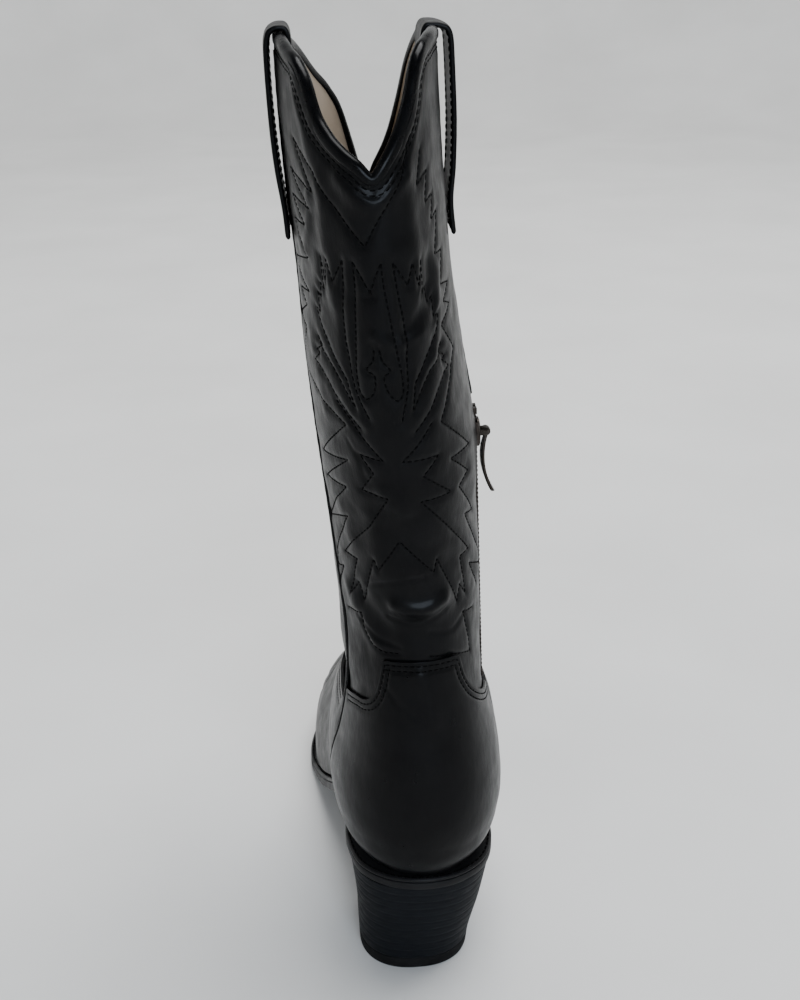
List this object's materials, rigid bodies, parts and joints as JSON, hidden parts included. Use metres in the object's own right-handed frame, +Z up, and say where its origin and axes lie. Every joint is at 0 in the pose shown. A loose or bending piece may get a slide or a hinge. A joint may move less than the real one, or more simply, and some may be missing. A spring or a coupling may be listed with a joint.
{
  "type": "cowboy boot",
  "caption": "Left cowboy boot with a scalloped shaft, side pull straps, inner side zip with slider and hinged pull, welted sole and tapered stacked heel.",
  "frame": {"origin": "middle of the boot's outer box on the ground, between heel and forefoot", "axes": "+Z up the shaft, +Y from the heel to the toe, +X to the inner ankle with the zip"},
  "size_m": [0.0986, 0.296, 0.4114],
  "materials": {
    "black_leather": "glossy black smooth leather",
    "lining": "smooth beige lining leather",
    "stiffener": "resin-filled fibre sheet",
    "zipper_tape": "black woven tape",
    "gunmetal": "dark gunmetal plating on zinc and brass",
    "insole_board": "pressed fibre board",
    "cork": "granulated cork",
    "steel": "plain steel",
    "sole": "black moulded sole",
    "heel_stack": "black stained stacked heel",
    "rubber": "matt black rubber"
  },
  "bodies": {
    "boot": {"shaft_back_panel": "black_leather", "shaft_front_panel": "black_leather", "counter_cover": "black_leather", "vamp": "black_leather", "top_binding": "black_leather", "side_piping_lateral": "black_leather", "side_piping_medial_upper": "black_leather", "side_piping_medial_lower": "black_leather", "pull_strap_lateral": "black_leather", "pull_strap_medial": "black_leather", "zipper_guard": "black_leather", "shaft_back_lining": "lining", "shaft_front_lining": "lining", "heel_lining": "lining", "vamp_lining": "lining", "insock": "lining", "heel_stiffener": "stiffener", "toe_puff": "stiffener", "zipper_tape_back": "zipper_tape", "zipper_tape_front": "zipper_tape", "zipper_teeth_back": "gunmetal", "zipper_teeth_front": "gunmetal", "zipper_bottom_stop": "gunmetal", "zipper_top_stop_back": "gunmetal", "zipper_top_stop_front": "gunmetal", "insole_board": "insole_board", "cork_filler": "cork", "shank": "steel", "shank_rivet_1": "steel", "shank_rivet_2": "steel", "welt": "sole", "outsole": "sole", "heel_block": "heel_stack", "heel_top_lift": "rubber", "heel_nail_1": "steel", "heel_nail_2": "steel", "heel_nail_3": "steel", "heel_nail_4": "steel", "heel_nail_5": "steel", "heel_screw": "steel", "top_lift_pin_1": "steel", "top_lift_pin_2": "steel"},
    "zip_slider": {"zipper_slider": "gunmetal"},
    "zip_pull": {"zipper_pull": "gunmetal"}
  },
  "joints": [
    {"name": "zip_slide", "type": "slide", "parent": "boot", "child": "zip_slider", "axis": [0.0282, 0, -0.9996], "range_m": [0, 0.105]},
    {"name": "pull_hinge", "type": "hinge", "parent": "zip_slider", "child": "zip_pull", "pos_m": [0.0366, -0.0855, 0.2476], "axis": [0, -1, 0], "range_deg": [0, 150]}
  ]
}
